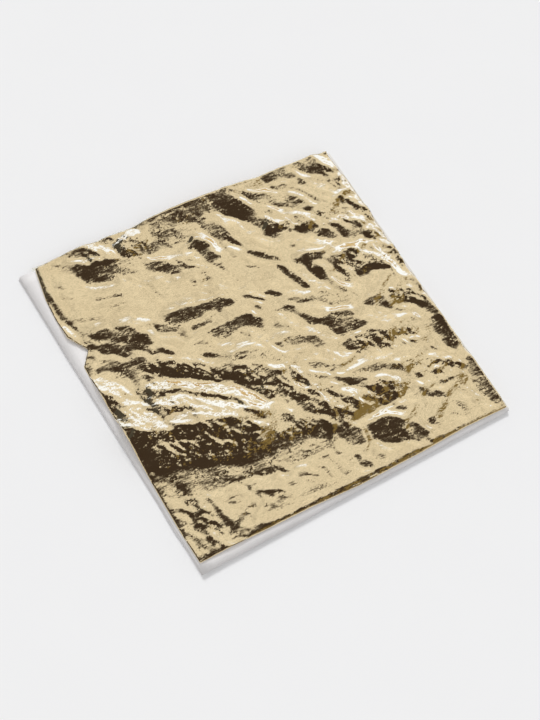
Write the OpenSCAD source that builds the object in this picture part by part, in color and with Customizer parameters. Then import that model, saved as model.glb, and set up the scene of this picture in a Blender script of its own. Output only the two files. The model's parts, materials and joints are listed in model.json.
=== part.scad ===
// Booklet of metal leaf: a glued block of tissue pages with one leaf lying on each page.
// The top page is bare of any cover, so its crumpled leaf shows. Millimetres, +Z up.
// The origin is the middle of the block's underside. The glued spine is on the right (+X),
// the free fore edge on the left (-X), and the front edge at -Y.

/* [Pages] */
// Number of tissue pages, each of which carries one leaf
page_count = 25; // [5:1:25]
// Page width from spine to fore edge, halfway between front and back
page_w = 143; // [110:1:180]
// Page depth from front edge to back edge
page_d = 140; // [110:1:180]
// How much wider a page is cut at its back edge than at its front edge
page_skew = 7; // [0:0.5:12]
// Most that one page is cut wider or narrower than the next
cut_error = 0.5; // [0:0.1:1]
// Thickness of a tissue page
tissue_t = 0.035; // [0.025:0.005:0.06]
// Air between a page and the leaf on it
sheet_gap = 0.005; // [0.003:0.001:0.01]

/* [Leaves] */
// Side of a leaf
leaf_w = 140; // [80:1:160]
// Thickness of a leaf
leaf_t = 0.015; // [0.01:0.005:0.03]
// Margin from the spine to the nearest edge of a leaf
leaf_inset = 0.6; // [0.6:0.1:5]
// How far the leaves lie towards the back, from the middle of the pages
leaf_shift = 1; // [0:0.1:3]
// Most that an inner leaf lies turned, in degrees
leaf_turn = 0.4; // [0:0.1:0.4]

/* [Exposed leaf] */
// How much further back than the others the exposed leaf lies
exposed_shift = 1.5; // [0:0.1:3]
// Height of the exposed leaf's face over its page
crown_h = 0.3; // [0.2:0.1:2]
// Height of the exposed leaf's edges over its page
rim_h = 0.25; // [0.1:0.05:0.5]
// How far the back edge curls up off the page
back_lift = 2.2; // [0:0.1:3]
// Width of the band along the edges that turns down to the page
rim_w = 5; // [2:0.5:10]
// Factor on the height of the folds
fold_scale = 1; // [0:0.1:1.5]
// How far the corners are drawn in by the crumpling
corner_draw = 1.5; // [0:0.1:3]
// Depth of the tuck in the left edge
tuck_depth = 5; // [0:0.5:8]
// Half the width of the tuck at the left edge
tuck_w = 7; // [4:0.5:12]

/* [Block] */
// Thickness of the paper sheet under the pages
backing_t = 0.25; // [0.15:0.05:1]
// How far the backing sheet reaches past the longest page at the fore edge
backing_margin = 0.3; // [0:0.1:2]
// Thickness of the glue film on the spine
glue_t = 0.4; // [0.2:0.1:1]
// Length of spine at each end that the glue leaves bare
glue_end = 0.5; // [0:0.5:5]

/* [Hidden] */
// Cells along each side of the exposed leaf's surface
cells = 24;
// Where the tuck enters the left edge, as a share of half the leaf's side
tuck_at = 0.39;
// The main folds of the exposed leaf: from x, y to x, y as shares of half its side,
// then the half width and the height in millimetres. A valley has a negative height.
folds = [
    [-0.98, -0.15, -0.82, -0.18,  8.0, 1.2],
    [-0.60, -0.21, -0.36, -0.36, 11.0, 3.2],
    [-0.60, -0.45, -0.32, -0.54,  9.0, 0.7],
    [-0.16, -0.40,  0.16, -0.60, 10.0, 0.9],
    [ 0.08, -0.28,  0.26, -0.50, 10.0, 0.9],
    [ 0.30,  0.00,  0.60, -0.14, 10.0, 1.0],
    [ 0.32, -0.44,  0.55, -0.48,  8.0, 0.6],
    [-0.70,  0.38, -0.66,  0.14,  8.0, 0.6],
    [-0.15,  0.27,  0.06,  0.18,  8.0, 0.5],
    [ 0.66,  0.74,  0.90,  0.82,  9.0, 0.9],
    [ 0.80,  0.20,  0.80,  0.00,  9.0, 1.0],
    [ 0.55,  0.05,  0.62,  0.18,  8.0, 0.3],
    [ 0.80,  0.60,  0.82,  0.40,  8.0, 0.7],
    [ 0.58,  0.44,  0.70,  0.42,  8.0, 0.4],
    [-0.82,  0.42, -0.66,  0.32,  7.5, 0.5],
    [-0.45,  0.30, -0.16,  0.23,  7.0, 0.4],
    [-0.14,  0.12, -0.05,  0.10,  6.0, 0.3],
    [-0.66,  0.86, -0.54,  0.78,  7.0, 0.5],
    [-0.16,  0.90,  0.20,  0.92,  6.0, 0.4],
    [ 0.36,  0.84,  0.52,  0.66,  5.0, 0.3],
    [ 0.20, -0.78,  0.36, -0.80,  7.0, 0.3]
];
spine_x = page_w / 2;
leaf_x = spine_x - leaf_inset - leaf_w / 2;
// Height that one page and its leaf take up in the block
pitch = tissue_t + leaf_t + 2 * sheet_gap;
pages_z = backing_t + sheet_gap;
block_h = pages_z + (page_count - 1) * pitch + tissue_t;
sheet_numbers = [for (i = [1:page_count]) i];
inner_numbers = [for (i = [2:page_count]) i];
EXPOSED = "leaf_01";

// Name of a sheet, with its number counted down from the top of the block
function sheet_name(kind, i) = str(kind, i < 10 ? "_0" : "_", i);

// Underside of a tissue page
function page_z(i) = pages_z + (page_count - i) * pitch;

// A number from -1 to 1 that differs from sheet to sheet and stays the same each time
function scatter(i, seed) = sin(137.5 * i + 61 * seed) * cos(29 * i * seed);

// Half-open ramp from 0 to 1
function ramp(a) = let (b = min(1, max(0, a))) b * b * (3 - 2 * b);

// Distance from a point to the stretch from a to b
function stretch_distance(p, a, b) =
    let (
        ab = b - a,
        share = min(1, max(0, (p - a) * ab / (ab * ab)))
    )
    norm(p - a - share * ab);

// What all folds together add to the height at a point
function fold_height(p, k = 0) =
    k == len(folds) ? 0
    : let (
        f = folds[k],
        a = [f[0], f[1]] * leaf_w / 2,
        b = [f[2], f[3]] * leaf_w / 2,
        off = stretch_distance(p, a, b) / f[4]
    )
    f[5] * exp(-off * off) + fold_height(p, k + 1);

// Plan of the exposed leaf: s and t run from -1 to 1 along its width and depth
function plan(s, t) =
    let (
        half = leaf_w / 2,
        x = s * (half - corner_draw * t * t),
        y = t * (half - corner_draw * s * s),
        from_tuck = (y - tuck_at * half) / tuck_w,
        near_left = pow((1 - s) / 2, 6)
    )
    [x + tuck_depth * near_left * exp(-from_tuck * from_tuck), y];

// Height of the exposed leaf over its page: crowned, folded, turned down at the rim and
// curled up along the back edge
function relief(s, t) =
    let (
        to_edge = (1 - max(abs(s), abs(t))) * leaf_w / 2,
        face = max(0, crown_h + fold_scale * fold_height(plan(s, t))),
        curl = back_lift * ramp((t - 0.74) / 0.26) * ramp((s + 0.4) / 0.5)
    )
    rim_h + curl + face * ramp(to_edge / rim_w);

// Corner points of a page, whose spine side lies on the glue
function page_outline(extra) =
    let (
        back_x = spine_x - page_w - page_skew / 2 - extra,
        front_x = spine_x - page_w + page_skew / 2 - extra
    )
    [
        [spine_x, -page_d / 2],
        [spine_x, page_d / 2],
        [back_x, page_d / 2],
        [front_x, -page_d / 2]
    ];

module tissue(i) {
    color("whitesmoke")
        translate([0, 0, page_z(i)])
            linear_extrude(height = tissue_t)
                polygon(page_outline(cut_error * scatter(i, 1)));
}

module inner_leaf(i) {
    color("goldenrod")
        translate([leaf_x, leaf_shift, page_z(i) + tissue_t + sheet_gap])
            rotate([0, 0, leaf_turn * scatter(i, 2)])
                linear_extrude(height = leaf_t)
                    square(leaf_w, center = true);
}

module exposed_leaf() {
    row = cells + 1;
    count = row * row;
    steps = [for (k = [0:cells]) 2 * k / cells - 1];
    under = [for (t = steps) for (s = steps) concat(plan(s, t), relief(s, t))];
    over = [for (p = under) p + [0, 0, leaf_t]];
    top_faces = [
        for (j = [0:cells - 1]) for (i = [0:cells - 1])
            let (a = count + j * row + i)
                each [[a, a + row, a + 1], [a + 1, a + row, a + row + 1]]
    ];
    bottom_faces = [for (f = top_faces) [f[0] - count, f[2] - count, f[1] - count]];
    ring = concat(
        [for (i = [0:cells - 1]) i],
        [for (j = [0:cells - 1]) j * row + cells],
        [for (i = [0:cells - 1]) count - 1 - i],
        [for (j = [0:cells - 1]) (cells - j) * row]
    );
    side_faces = [
        for (k = [0:len(ring) - 1])
            let (a = ring[k], b = ring[(k + 1) % len(ring)])
                each [[a, a + count, b], [b, a + count, b + count]]
    ];
    color("gold")
        translate([leaf_x, leaf_shift + exposed_shift, block_h])
            polyhedron(
                points = concat(under, over),
                faces = concat(top_faces, bottom_faces, side_faces),
                convexity = 10
            );
}

module backing_sheet() {
    color("white")
        linear_extrude(height = backing_t)
            polygon(page_outline(cut_error + backing_margin));
}

module spine_glue() {
    color("ivory")
        translate([spine_x, -page_d / 2 + glue_end, 0])
            cube([glue_t, page_d - 2 * glue_end, block_h]);
}

backing_sheet();
spine_glue();
exposed_leaf();
for (i = sheet_numbers) tissue(i);
for (i = inner_numbers) inner_leaf(i);
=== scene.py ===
"""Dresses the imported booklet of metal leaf: tissue pages, leaves, glued spine and a small studio."""

import json
import math

import bpy
import numpy as np
from bpy.props import FloatProperty, FloatVectorProperty, IntProperty, PointerProperty
from mathutils import Matrix, Vector


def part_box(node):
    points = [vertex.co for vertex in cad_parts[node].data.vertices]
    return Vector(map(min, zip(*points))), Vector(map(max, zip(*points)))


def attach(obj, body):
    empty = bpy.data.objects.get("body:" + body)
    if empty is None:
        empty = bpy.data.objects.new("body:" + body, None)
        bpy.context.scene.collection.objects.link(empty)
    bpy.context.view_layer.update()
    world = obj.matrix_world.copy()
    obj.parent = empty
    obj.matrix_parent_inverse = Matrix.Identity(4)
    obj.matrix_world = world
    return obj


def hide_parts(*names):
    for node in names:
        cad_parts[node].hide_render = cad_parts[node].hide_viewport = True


bl_info = {
    "name": "Leaf booklet",
    "version": (1, 0, 0),
    "blender": (4, 5, 0),
    "location": "3D View > Sidebar > Booklet",
    "description": "Dresses a booklet of metal leaf around its construction model",
    "category": "Add Mesh",
}

MM = 0.001
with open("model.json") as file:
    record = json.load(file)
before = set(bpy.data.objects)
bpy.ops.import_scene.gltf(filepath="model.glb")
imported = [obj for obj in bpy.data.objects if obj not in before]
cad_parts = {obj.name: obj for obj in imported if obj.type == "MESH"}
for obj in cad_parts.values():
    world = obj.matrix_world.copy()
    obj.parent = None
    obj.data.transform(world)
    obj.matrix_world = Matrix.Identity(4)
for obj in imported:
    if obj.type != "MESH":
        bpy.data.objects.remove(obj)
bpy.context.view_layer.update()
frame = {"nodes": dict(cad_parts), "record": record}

# Sheets of the construction model, counted down from the top of the block
PAGES = sorted(name for name in frame["nodes"] if name.startswith("tissue_"))
LEAVES = sorted(name for name in frame["nodes"] if name.startswith("leaf_"))
EXPOSED, INNER = LEAVES[0], LEAVES[1:]
BODY_OF = {
    name: body
    for body, members in frame["record"]["behaviour"]["bodies"].items()
    for name in members
}
PAGE_LOW, PAGE_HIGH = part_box(PAGES[0])
INNER_LOW, INNER_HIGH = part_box(INNER[0])
EXPOSED_LOW, EXPOSED_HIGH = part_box(EXPOSED)
LEAF_SIDE = EXPOSED_HIGH.x - EXPOSED_LOW.x
LEAF_MIDDLE = (EXPOSED_LOW + EXPOSED_HIGH) / 2
LEAF_THICK = INNER_HIGH.z - INNER_LOW.z
BLOCK_TOP = PAGE_HIGH.z

# The studio as a level mirror shows it, in degrees from straight overhead: the dark
# ceiling reaches this far towards the far side, and the bright lamp starts this far down.
CEILING_END = 12.5
CEILING_FADE = (13.0, 6.0)
LAMP_START = 66.0
LAMP_FADE = (4.0, 8.0)
# Degrees out to the right, where the dim warm wall starts, and out to the dark left
RIGHT_START = 30.0
LEFT_START = 36.0
WALL_FADE = 3.0

# Facets of the crumpled leaf. Each has the way it leans, its width, and the points of the
# line that it follows, in millimetres from the leaf's middle, x to the spine and y to the
# back. A near facet leans to the viewer, a deep one more and a soft one less, an away facet
# leans to the far lamp and a side facet to the right. A tumbled patch only crumples more.
D, N, S, A, R, T = "deep", "near", "soft", "away", "side", "tumbled"
FACETS = [
    # Patches that crumple more
    (T, 17,  -52, -6,  -40, -13,  -26, -24),
    (T, 9,  -66, 2,  -64, -8,  -62, -16),
    (T, 5,  -49, 7,  -38, 1,  -28, -7),
    (T, 8,  -18, -14,  -13, -21),
    (T, 7,  -66, -19,  -52, -24,  -40, -29),
    (T, 10,  -62, -27,  -48, -32,  -34, -36,  -27, -36),
    (T, 5,  -16, -40,  -6, -41),
    (T, 9,  64, 54,  64, 30,  64, 4),
    (T, 11,  -44, 62,  -30, 60),
    (T, 9,  46, 36,  60, 34),
    (T, 11,  46, 14,  60, 10),
    (T, 12,  -2, -22,  2, -34,  8, -42),
    (T, 8,  14, -40,  32, -44),
    (T, 8,  48, -42,  60, -46),
    (T, 7,  -60, -48,  -58, -62),
    (T, 9,  30, -22,  50, -26),
    (T, 6,  56, -8,  64, -14),
    (T, 6,  26, 44,  40, 38),
    # Left edge and its notch
    (N, 1.3,  -69, 68,  -69.7, 60,  -70.2, 52,  -70, 46,  -69, 40,  -67.5, 34,  -66.2, 28),
    (A, 2.0,  -70.2, 37,  -68, 31),
    (N, 2.6,  -69.5, 22.5,  -67, 25),
    (N, 1.7,  -66.3, 26,  -64, 24),
    (A, 1.2,  -67.3, 23,  -61.5, 21.8),
    (N, 2.8,  -62.5, 22.5,  -58.5, 21,  -56, 18.5,  -54, 16.3),
    (N, 2.4,  -61.5, 27.3,  -57.5, 27,  -55.5, 25,  -53, 22.5),
    (N, 2.4,  -52.3, 26,  -50.5, 21,  -49.5, 17),
    (N, 2.2,  -49.5, 25,  -48, 21,  -47, 18),
    (N, 3.8,  -50, 17.5,  -45.5, 17.5),
    (N, 1.2,  -47.5, 15,  -46, 12,  -44, 10.8),
    (N, 1.0,  -42.5, 11.5,  -38, 7.8),
    (N, 1.0,  -70.2, 22,  -70.4, 12),
    # Far left corner
    (N, 3.2,  -54.5, 58.5,  -52.5, 54.5),
    (N, 5.0,  -52, 53,  -41, 53),
    (S, 3.0,  -40, 52,  -31, 53),
    (N, 2.4,  -38, 49.3,  -33, 49),
    (S, 1.6,  -34, 45,  -29, 46),
    (N, 3.6,  -28, 47.5,  -24, 45,  -19.5, 41.5),
    (N, 2.4,  -53, 67,  -50, 65.5,  -46, 63),
    (S, 1.2,  -55, 64,  -50, 63),
    (A, 4.6,  -47, 67.5,  -41, 62,  -36, 57),
    (N, 2.2,  -42, 67.5,  -36, 65,  -32, 65.5),
    (N, 2.4,  -35, 68,  -31, 67),
    (A, 3.6,  -34, 62.5,  -27, 65),
    (A, 1.9,  -33, 59,  -31, 56.5),
    (N, 1.9,  -36.5, 61,  -35, 57,  -34, 55.5),
    (N, 2.8,  -31, 55.5,  -27, 58,  -24.5, 59.5),
    (S, 2.2,  -24, 60,  -20, 61,  -17, 62),
    (D, 2.8,  -30, 54.8,  -24, 54,  -19, 53,  -16, 51.8),
    # Far edge, left of the middle
    (D, 7.0,  -17, 61.5,  -13, 58.5,  -10, 56),
    (N, 5.0,  -13, 63,  -8, 61,  -5, 57),
    (S, 2.2,  -14, 53,  -8, 54.5),
    (D, 5.8,  -9, 64.3,  0, 63.8,  8, 63.6,  14.5, 62.8),
    (N, 2.2,  -20, 67,  -18, 65.5,  -16.5, 64),
    (S, 1.3,  -15, 68,  -12, 65),
    (N, 1.1,  -10.5, 49,  -8, 48.5),
    (D, 3.2,  -6.5, 48.5,  -4.5, 45,  -5.5, 41),
    (N, 1.2,  -5, 39.5,  -1, 38.7),
    (N, 1.0,  -17, 45,  -14.7, 40),
    (N, 1.0,  -14, 44,  -10, 41),
    # Middle, left
    (N, 3.0,  -33, 21.5,  -27, 20.8,  -20, 20.5,  -13, 20.3,  -8.5, 18.8),
    (S, 2.0,  -38, 19.5,  -31, 18.5),
    (N, 1.0,  -26, 15,  -19, 14),
    (N, 3.2,  -13, 9,  -6, 8.2,  -2, 6.3),
    (S, 3.4,  -20, 9,  -13, 7),
    (N, 1.4,  0, 13,  2, 10.5),
    (N, 1.3,  -28.5, 2.5,  -23.5, -0.3),
    # Behind the main ridge
    (N, 1.5,  -70.5, 12,  -66, 10.5,  -62.5, 8,  -60, 5.2),
    (S, 2.0,  -66, 11.2,  -58, 11.7,  -50, 11),
    (S, 4.0,  -61, 8.5,  -56, 9,  -50, 9.5),
    (D, 5.0,  -57.5, 3,  -54, 1.5,  -51, 0),
    (N, 1.5,  -57.5, -3,  -58, -6,  -57.5, -9),
    (N, 1.4,  -54.5, -6,  -54, -9,  -53, -12),
    (N, 1.4,  -52, -5,  -44, -8,  -38, -12),
    (N, 1.3,  -46, -14.5,  -38, -19),
    (N, 1.1,  -33, -14.5,  -27, -20),
    (D, 3.4,  -50, 8,  -43, 4.5,  -37, 0.5,  -32, -3,  -27, -7),
    (N, 1.0,  -46, 1.5,  -38, -4,  -31, -8.5),
    (D, 3.2,  -22, -10.5,  -16, -12,  -11, -14),
    (N, 2.0,  -10.5, -14,  -9, -19,  -8, -23.5),
    (D, 3.4,  -16.5, -16,  -14, -19,  -16, -23),
    (N, 2.5,  -12, -19,  -11, -25),
    # Far side of the main ridge
    (A, 8.0,  -69, 10,  -65, 6,  -62, 2),
    (A, 6.0,  -67, -3,  -60, -5),
    (A, 6.0,  -68, -10,  -58, -12),
    (A, 5.0,  -64, -15,  -60, -17,  -56, -20.5),
    (N, 2.6,  -69, 1,  -67.5, -4),
    (A, 5.0,  -52, 0,  -43, -3.5,  -32, -11.5,  -24, -18),
    (A, 5.0,  -53, -8,  -45, -11,  -36, -17.5,  -28, -24),
    (A, 5.5,  -53, -17,  -43, -20.5,  -35, -24.5,  -26, -29),
    (A, 6.0,  -25, -16,  -20.5, -23,  -17.5, -31),
    # Near side of the main ridge
    (D, 3.2,  -70, -19,  -64, -20.5,  -58, -22.5,  -50, -24.5),
    (D, 4.5,  -70, -23,  -60, -25,  -51, -27),
    (D, 5.0,  -52, -25,  -44, -27.5,  -36, -30,  -30, -32.5),
    (D, 5.0,  -55, -27,  -48, -31,  -40, -34,  -32, -35,  -26, -35),
    (N, 2.6,  -28, -27.5,  -23, -30.5,  -17, -32),
    (A, 3.4,  -24.5, -31.5,  -22, -36),
    (A, 1.5,  -34.5, -34,  -32, -36.5),
    (D, 5.4,  -64, -31.5,  -57, -33,  -50, -34),
    (S, 2.5,  -62, -25.5,  -50, -29.5),
    (D, 5.0,  -50, -38,  -44, -38.5,  -38, -40,  -30, -41.5,  -22, -43.5,  -12, -45,  -4, -44),
    (D, 5.5,  -20, -38,  -12, -38,  -5, -39),
    (D, 3.4,  -38, -42,  -28, -44.5,  -20, -46.5,  -10, -46.5),
    (N, 2.2,  -6, -46,  -3.5, -47.5),
    (D, 5.0,  -46, -34,  -30, -38.5,  -12, -41.5),
    (S, 3.0,  -64, -36,  -52, -40),
    (S, 4.5,  -63, -38,  -58, -42,  -50, -44,  -42, -45.5),
    (S, 3.0,  -36, -46.5,  -24, -49,  -12, -49.5,  -4, -51),
    (S, 3.0,  -70, -36,  -66, -39.5),
    (R, 4.2,  -20.5, -36,  -17, -33,  -13.5, -29.5),
    (R, 4.6,  -13, -31,  -8, -28,  -3, -23),
    (N, 3.2,  -9, -19,  -3, -21),
    (S, 3.6,  -13, -25,  -5, -19.5),
    (R, 2.6,  -8.5, -34,  -5, -29,  -3, -25),
    # Front left
    (N, 1.3,  -70, -25,  -69.8, -33),
    (N, 1.0,  -70, -37,  -69.6, -58),
    (N, 1.2,  -62.5, -38,  -60.5, -43,  -59, -48,  -58.8, -52),
    (N, 2.2,  -62, -52,  -61.3, -57,  -60.5, -62),
    (A, 1.5,  -59.8, -60,  -58, -64.5),
    (N, 1.2,  -57.5, -58,  -56, -62),
    (N, 1.3,  -55, -50,  -54, -56,  -53, -61,  -50, -64.5),
    (N, 1.4,  -41.5, -48.7,  -36, -48.3,  -31, -49.5,  -27.5, -51),
    (N, 1.0,  -35.5, -57,  -33.5, -59.3),
    (N, 0.9,  -26, -51,  -23.5, -54),
    (A, 1.1,  -57, -66,  -55.5, -68.5,  -50, -69),
    # Far edge, right of the middle
    (D, 3.0,  -20, 56,  -15, 57.5),
    (D, 3.4,  -4, 60.3,  7, 60.3),
    (N, 3.6,  0.5, 57,  3, 53,  5, 48,  6, 45.5),
    (N, 1.4,  7, 45,  8.5, 41,  10, 37.5),
    (A, 1.6,  4.5, 44,  7, 40.5,  9.5, 37.5),
    (N, 1.8,  3, 46,  4, 43.5),
    (N, 1.0,  9.5, 36.5,  14, 33,  18, 29,  21, 26),
    (S, 1.3,  5, 59,  7, 55),
    (D, 6.5,  12, 62,  15, 59.5,  18, 57),
    (D, 5.4,  18.5, 56,  21, 51,  23, 46),
    (N, 1.6,  24, 44,  22, 41.5),
    (N, 2.8,  22.5, 41,  25, 39),
    (N, 1.7,  24, 41.5,  28, 40.3,  33, 40.3),
    (A, 2.1,  33.8, 39.5,  36, 37.5,  38.5, 35.8),
    (N, 2.2,  34.5, 36.5,  37, 35,  42, 35.8),
    (D, 3.4,  22.5, 59.5,  27, 57,  32, 54.5,  36, 50.5),
    (A, 1.6,  19, 61.5,  21.5, 57.5,  24, 54),
    (A, 1.7,  25.5, 48,  28.5, 44,  31, 42),
    (N, 1.4,  24.5, 54,  28, 50,  29, 46),
    (S, 2.6,  37, 54,  40, 47),
    (D, 2.6,  36, 59,  40, 57.5,  42, 55),
    (N, 2.0,  42.5, 56,  45, 52,  47.5, 47.5,  49, 45),
    (A, 2.8,  41.5, 54,  44, 50,  46.5, 46),
    (N, 2.0,  40.5, 51,  44, 47),
    (N, 3.0,  15.5, 67,  17, 64.5),
    (R, 3.2,  18, 67,  24, 66.8,  31, 67.2),
    (R, 3.2,  27, 63.5,  32, 62.8,  37, 63.5),
    (D, 5.4,  36, 66,  40, 65.5,  45, 65),
    (N, 2.4,  43.5, 63,  47.5, 60.3),
    (N, 1.3,  48, 58.5,  50, 54),
    (N, 2.0,  45, 68,  51, 67.7),
    (N, 2.0,  50, 66.5,  52, 63,  54, 60),
    (N, 4.5,  53, 65,  57, 61,  60, 58),
    (N, 1.4,  55, 68.8,  59.5, 68.3),
    (A, 2.6,  60.5, 68,  63, 66,  65.5, 65),
    (A, 3.6,  61, 65,  63, 61,  65.5, 57),
    (N, 2.8,  64.5, 66.5,  67.5, 66),
    # Right edge
    (A, 3.4,  66, 52,  62, 46,  60, 44),
    (A, 4.8,  65, 46,  66, 38),
    (A, 4.4,  66, 38,  65, 30,  66, 23),
    (A, 3.2,  61, 36,  60, 32,  61, 29),
    (A, 3.8,  66, 21,  65, 14),
    (A, 4.4,  61, 16,  60, 10,  62, 6),
    (A, 3.4,  63, 8,  63, 0,  65, -3),
    (N, 1.0,  63, 50,  62, 46),
    (N, 1.2,  60.5, 42,  66, 43.5),
    (N, 1.7,  62, 38,  63, 34,  64.5, 31.5),
    (N, 2.2,  65.5, 32,  67, 30),
    (N, 1.4,  62, 26,  66, 27.5),
    (N, 1.8,  66.5, 12,  66.8, 8,  66, 4),
    (N, 1.7,  50.5, 38.5,  54, 39,  58, 40.5,  61.5, 39),
    (N, 1.6,  50, 35,  55, 36.5),
    (A, 3.0,  53, 33.5,  60, 31),
    (A, 2.0,  39.5, 43,  43, 40.5,  47, 38),
    (N, 1.4,  45, 39.5,  48.5, 38.5),
    (N, 2.9,  49.5, 31.5,  51.5, 28,  53.5, 25,  57, 24),
    (N, 2.0,  56, 28,  60, 25.5),
    (A, 1.4,  52, 31,  54.5, 28),
    (N, 2.4,  42.5, 31,  45, 29,  47.5, 26),
    (N, 2.6,  28, 22.7,  32, 21.7,  37, 21),
    (N, 1.3,  38, 21.5,  42.5, 21.8),
    (N, 1.9,  19.5, 23.7,  20.5, 20,  22, 15.5,  24, 11.3),
    (D, 2.6,  30.3, 18.8,  32, 15.5,  33, 12),
    (N, 1.6,  34, 11,  35, 5,  37, 2),
    (N, 1.6,  38.5, 18,  40.5, 15),
    (N, 2.0,  38.5, 12.8,  42, 14.5,  46, 15.2),
    (N, 2.2,  47, 17,  50, 15.5),
    (N, 1.6,  52, 14.5,  55, 17),
    (N, 2.2,  46, 13.5,  48.5, 10.5),
    (A, 2.6,  53, 15,  58, 12,  61, 10),
    (N, 2.0,  47, 8,  47.5, 6.8,  55, 6.2),
    (S, 1.3,  41, 13,  41.5, 7),
    (N, 2.2,  59, 20.5,  62.5, 20),
    (N, 1.3,  7, 16,  13, 12),
    (S, 1.5,  16, 7,  26, 4),
    (N, 1.4,  14, 3.5,  15.5, 0,  17.5, -4,  22, -6.8),
    # Front right
    (S, 3.0,  28, 5,  35, -1.5),
    (N, 3.2,  23.5, -7.5,  28, -7,  32, -8.5),
    (N, 3.4,  24.5, -10.5,  27, -13,  31, -13,  35, -14),
    (N, 4.2,  25.5, -19.5,  30, -21,  36, -21.5,  40, -22.5),
    (N, 2.2,  37, -25,  40, -24.5),
    (R, 3.8,  40, -26,  44, -24,  48, -22,  53, -21),
    (R, 2.2,  45.5, -9.8,  49, -6.5,  53, -2.5,  58.5, -0.2),
    (N, 1.8,  42, -7.3,  45, -8,  48.5, -7),
    (N, 1.5,  48, -10.5,  51, -12.3,  54, -11.5),
    (R, 3.2,  52, -10,  57, -7,  60, -6),
    (N, 3.8,  57, -12,  60, -11.5,  62, -14),
    (N, 2.0,  62.5, -11.5,  64.5, -10,  66.3, -7),
    (N, 1.0,  52.2, -14.5,  55, -16),
    (S, 1.8,  0, -8.3,  5, -7.6,  10, -8),
    (N, 1.7,  10, -8.3,  15.5, -11),
    (N, 1.4,  -1, -6,  1, -9),
    (D, 3.4,  63.5, -16,  64, -22,  64, -30,  63.5, -38),
    (S, 2.4,  61.3, -20,  61, -35),
    (N, 3.0,  66, -47.5,  66.2, -56,  65.5, -66),
    (S, 2.2,  63.7, -50,  63.3, -62),
    (N, 1.3,  55, -21.5,  58, -23.5),
    (S, 3.0,  51, -25,  60, -26),
    (N, 1.6,  50, -30,  53, -31.5),
    (R, 2.6,  52, -32.5,  60, -30),
    (A, 1.1,  58.5, -31,  60, -34),
    (N, 1.1,  54, -34,  57, -36.5),
    (R, 2.2,  43, -38.8,  48, -37.2,  54, -35),
    (N, 1.1,  47.5, -39,  53, -39.8),
    (N, 0.9,  40, -50.5,  47, -49.5,  60, -51.5),
    (N, 0.9,  50, -45.6,  58, -44.3),
    (N, 0.9,  50, -42.5,  55, -41.6),
    (A, 1.0,  41, -44.8,  43.5, -48.5),
    (A, 1.0,  44.5, -46.5,  47, -49),
    (N, 1.6,  36, -35.8,  39, -37.5),
    # In front of the middle
    (D, 2.8,  -13.5, -14,  -11, -19,  -10, -23),
    (N, 3.0,  -13, -25,  -10, -28),
    (R, 2.6,  -20, -36,  -16, -33,  -12.5, -30),
    (N, 3.2,  -8, -24,  -6, -28),
    (R, 2.0,  -8.5, -35.5,  -6, -31),
    (A, 1.8,  -11.5, -31,  -10, -34.5),
    (N, 2.6,  -5, -31,  -3.5, -37),
    (D, 3.0,  -14, -38.5,  -5, -40),
    (S, 3.0,  -17, -4.5,  -9, -8,  -2, -13),
    (N, 1.3,  -1.5, -17,  1, -21,  4, -25.5,  8, -27.8,  13, -31,  18, -33.2),
    (N, 5.0,  5, -28,  8, -33,  9, -36),
    (N, 4.0,  -1, -32,  1, -37,  3, -41),
    (A, 1.7,  0, -19,  2, -24),
    (A, 2.2,  -2, -25.5,  -1, -29),
    (A, 3.0,  4, -36,  7, -39.5),
    (A, 1.8,  3, -31.5,  5, -29),
    (A, 1.7,  0, -42,  2, -45),
    (A, 1.6,  9.5, -30.5,  12, -32.5),
    (N, 3.2,  5, -44.5,  8, -43.5,  11, -41),
    (A, 4.8,  13, -36,  15.5, -37.5,  17, -42),
    (R, 2.8,  19.5, -36,  19.5, -42,  17, -45),
    (R, 2.2,  22, -40,  31, -39.5),
    (N, 2.8,  20, -35,  22.5, -37),
    (D, 3.6,  21.5, -43.5,  25, -42.5,  28, -42),
    (N, 2.8,  24, -46.5,  27, -45.5),
    (D, 3.4,  28.5, -45,  33, -44),
    (R, 2.8,  9, -47,  14, -47,  23, -47),
    (R, 2.2,  31, -48,  35, -46,  39, -43.5),
    (R, 2.2,  5, -41.5,  10.5, -37),
    (N, 3.4,  3, -50,  6, -51,  8.5, -53),
    (N, 2.2,  4, -54.5,  9, -57),
    (D, 6.8,  16, -56,  20, -58,  25, -60.5),
    (N, 2.0,  24, -63,  29, -63.5),
    (N, 1.5,  29.5, -60,  30.5, -63,  32, -66),
    (N, 1.7,  3, -60.5,  3.5, -64,  5.5, -66.5),
    (R, 1.6,  5, -61.5,  9, -60.3,  11, -57.5,  12, -54.5),
    (R, 1.6,  26.5, -61,  30, -57.5,  35, -53.5),
    (R, 2.6,  40, -62,  45, -59.5,  50, -56,  58, -53.3),
    (N, 1.8,  36, -62,  38.5, -63.5),
    (N, 1.8,  42, -52.3,  45, -54,  47.5, -55.5),
    (N, 1.1,  26.5, -51,  29.5, -52),
    (N, 1.2,  13, -26,  18, -26.2,  23, -26.3),
    (S, 1.7,  5, -20.5,  9, -22,  12.5, -23.5),
    (S, 1.6,  20, -31.5,  26, -32,  31, -33.2),
    (A, 1.1,  19, -20,  20.5, -23.3),
    (S, 2.0,  28, -32.8,  35, -35.8),
    # Front edge, turned down to the page
    (N, 1.5,  -68, -68.0,  -57, -68.8),
    (R, 1.5,  -49, -69.0,  -25, -69.6,  2, -70.0,  35, -70.2,  66, -70.4),
]

# How much further than the edge of the dark or the light each kind of facet leans, in degrees
NEAR_EXTRA = {"deep": 20.0, "near": 13.0, "soft": 4.0}
AWAY_EXTRA = 14.0
SIDE_EXTRA = 7.0
# Steepest lean in degrees, and the least share of a lean that goes straight to its aim
STEEPEST = 32.0
LEAST_SHARE = 0.45
# The facets' lines are stretched by this much from the leaf's front left corner
FACET_ANCHOR = np.array((-70.0, -70.0))
FACET_STRETCH = np.array((1.017, 1.014))
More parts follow.
